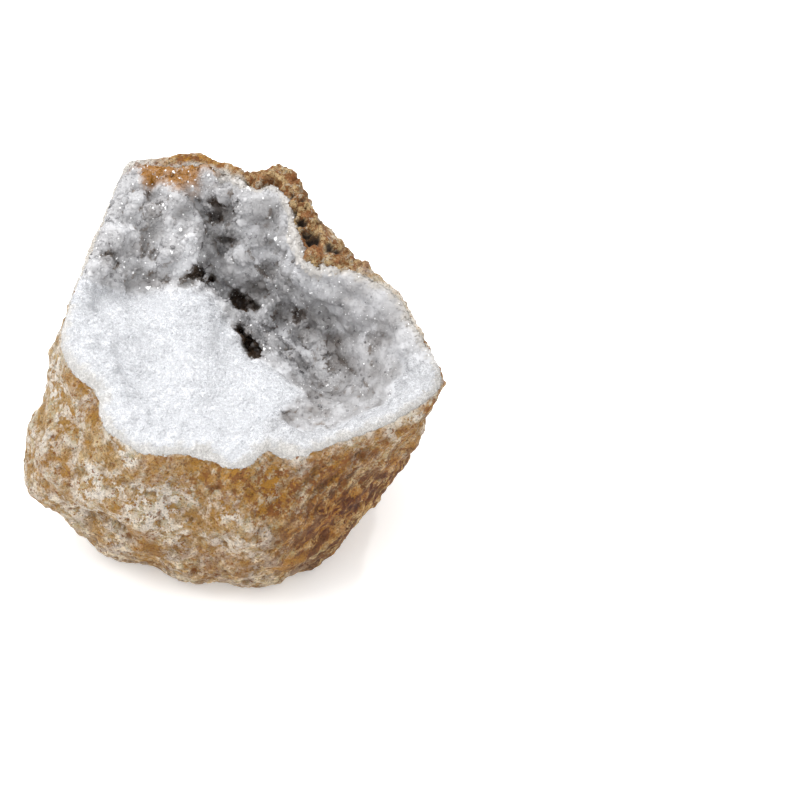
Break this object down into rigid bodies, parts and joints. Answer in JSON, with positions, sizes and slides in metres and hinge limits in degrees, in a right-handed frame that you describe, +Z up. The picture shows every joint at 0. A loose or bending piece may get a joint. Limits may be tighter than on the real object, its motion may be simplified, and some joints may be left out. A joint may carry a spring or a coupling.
{
  "type": "geode half",
  "caption": "Half of a broken quartz geode: a rough tan stone rind around a deep hollow lined with white sugary crystals, resting on a natural flat.",
  "frame": {"origin": "middle of the bounding box on the surface that the stone rests on", "axes": "+Z up, +X along the broken face's longest way to the viewer's right, -Y towards the viewer, to whom the broken face leans"},
  "size_m": [0.0946, 0.0846, 0.0731],
  "materials": {
    "chalky_stone": "matte rough",
    "white_quartz": "glittering crystalline"
  },
  "bodies": {
    "root": {"rind": "chalky_stone", "crystal_crust": "white_quartz"}
  },
  "joints": []
}
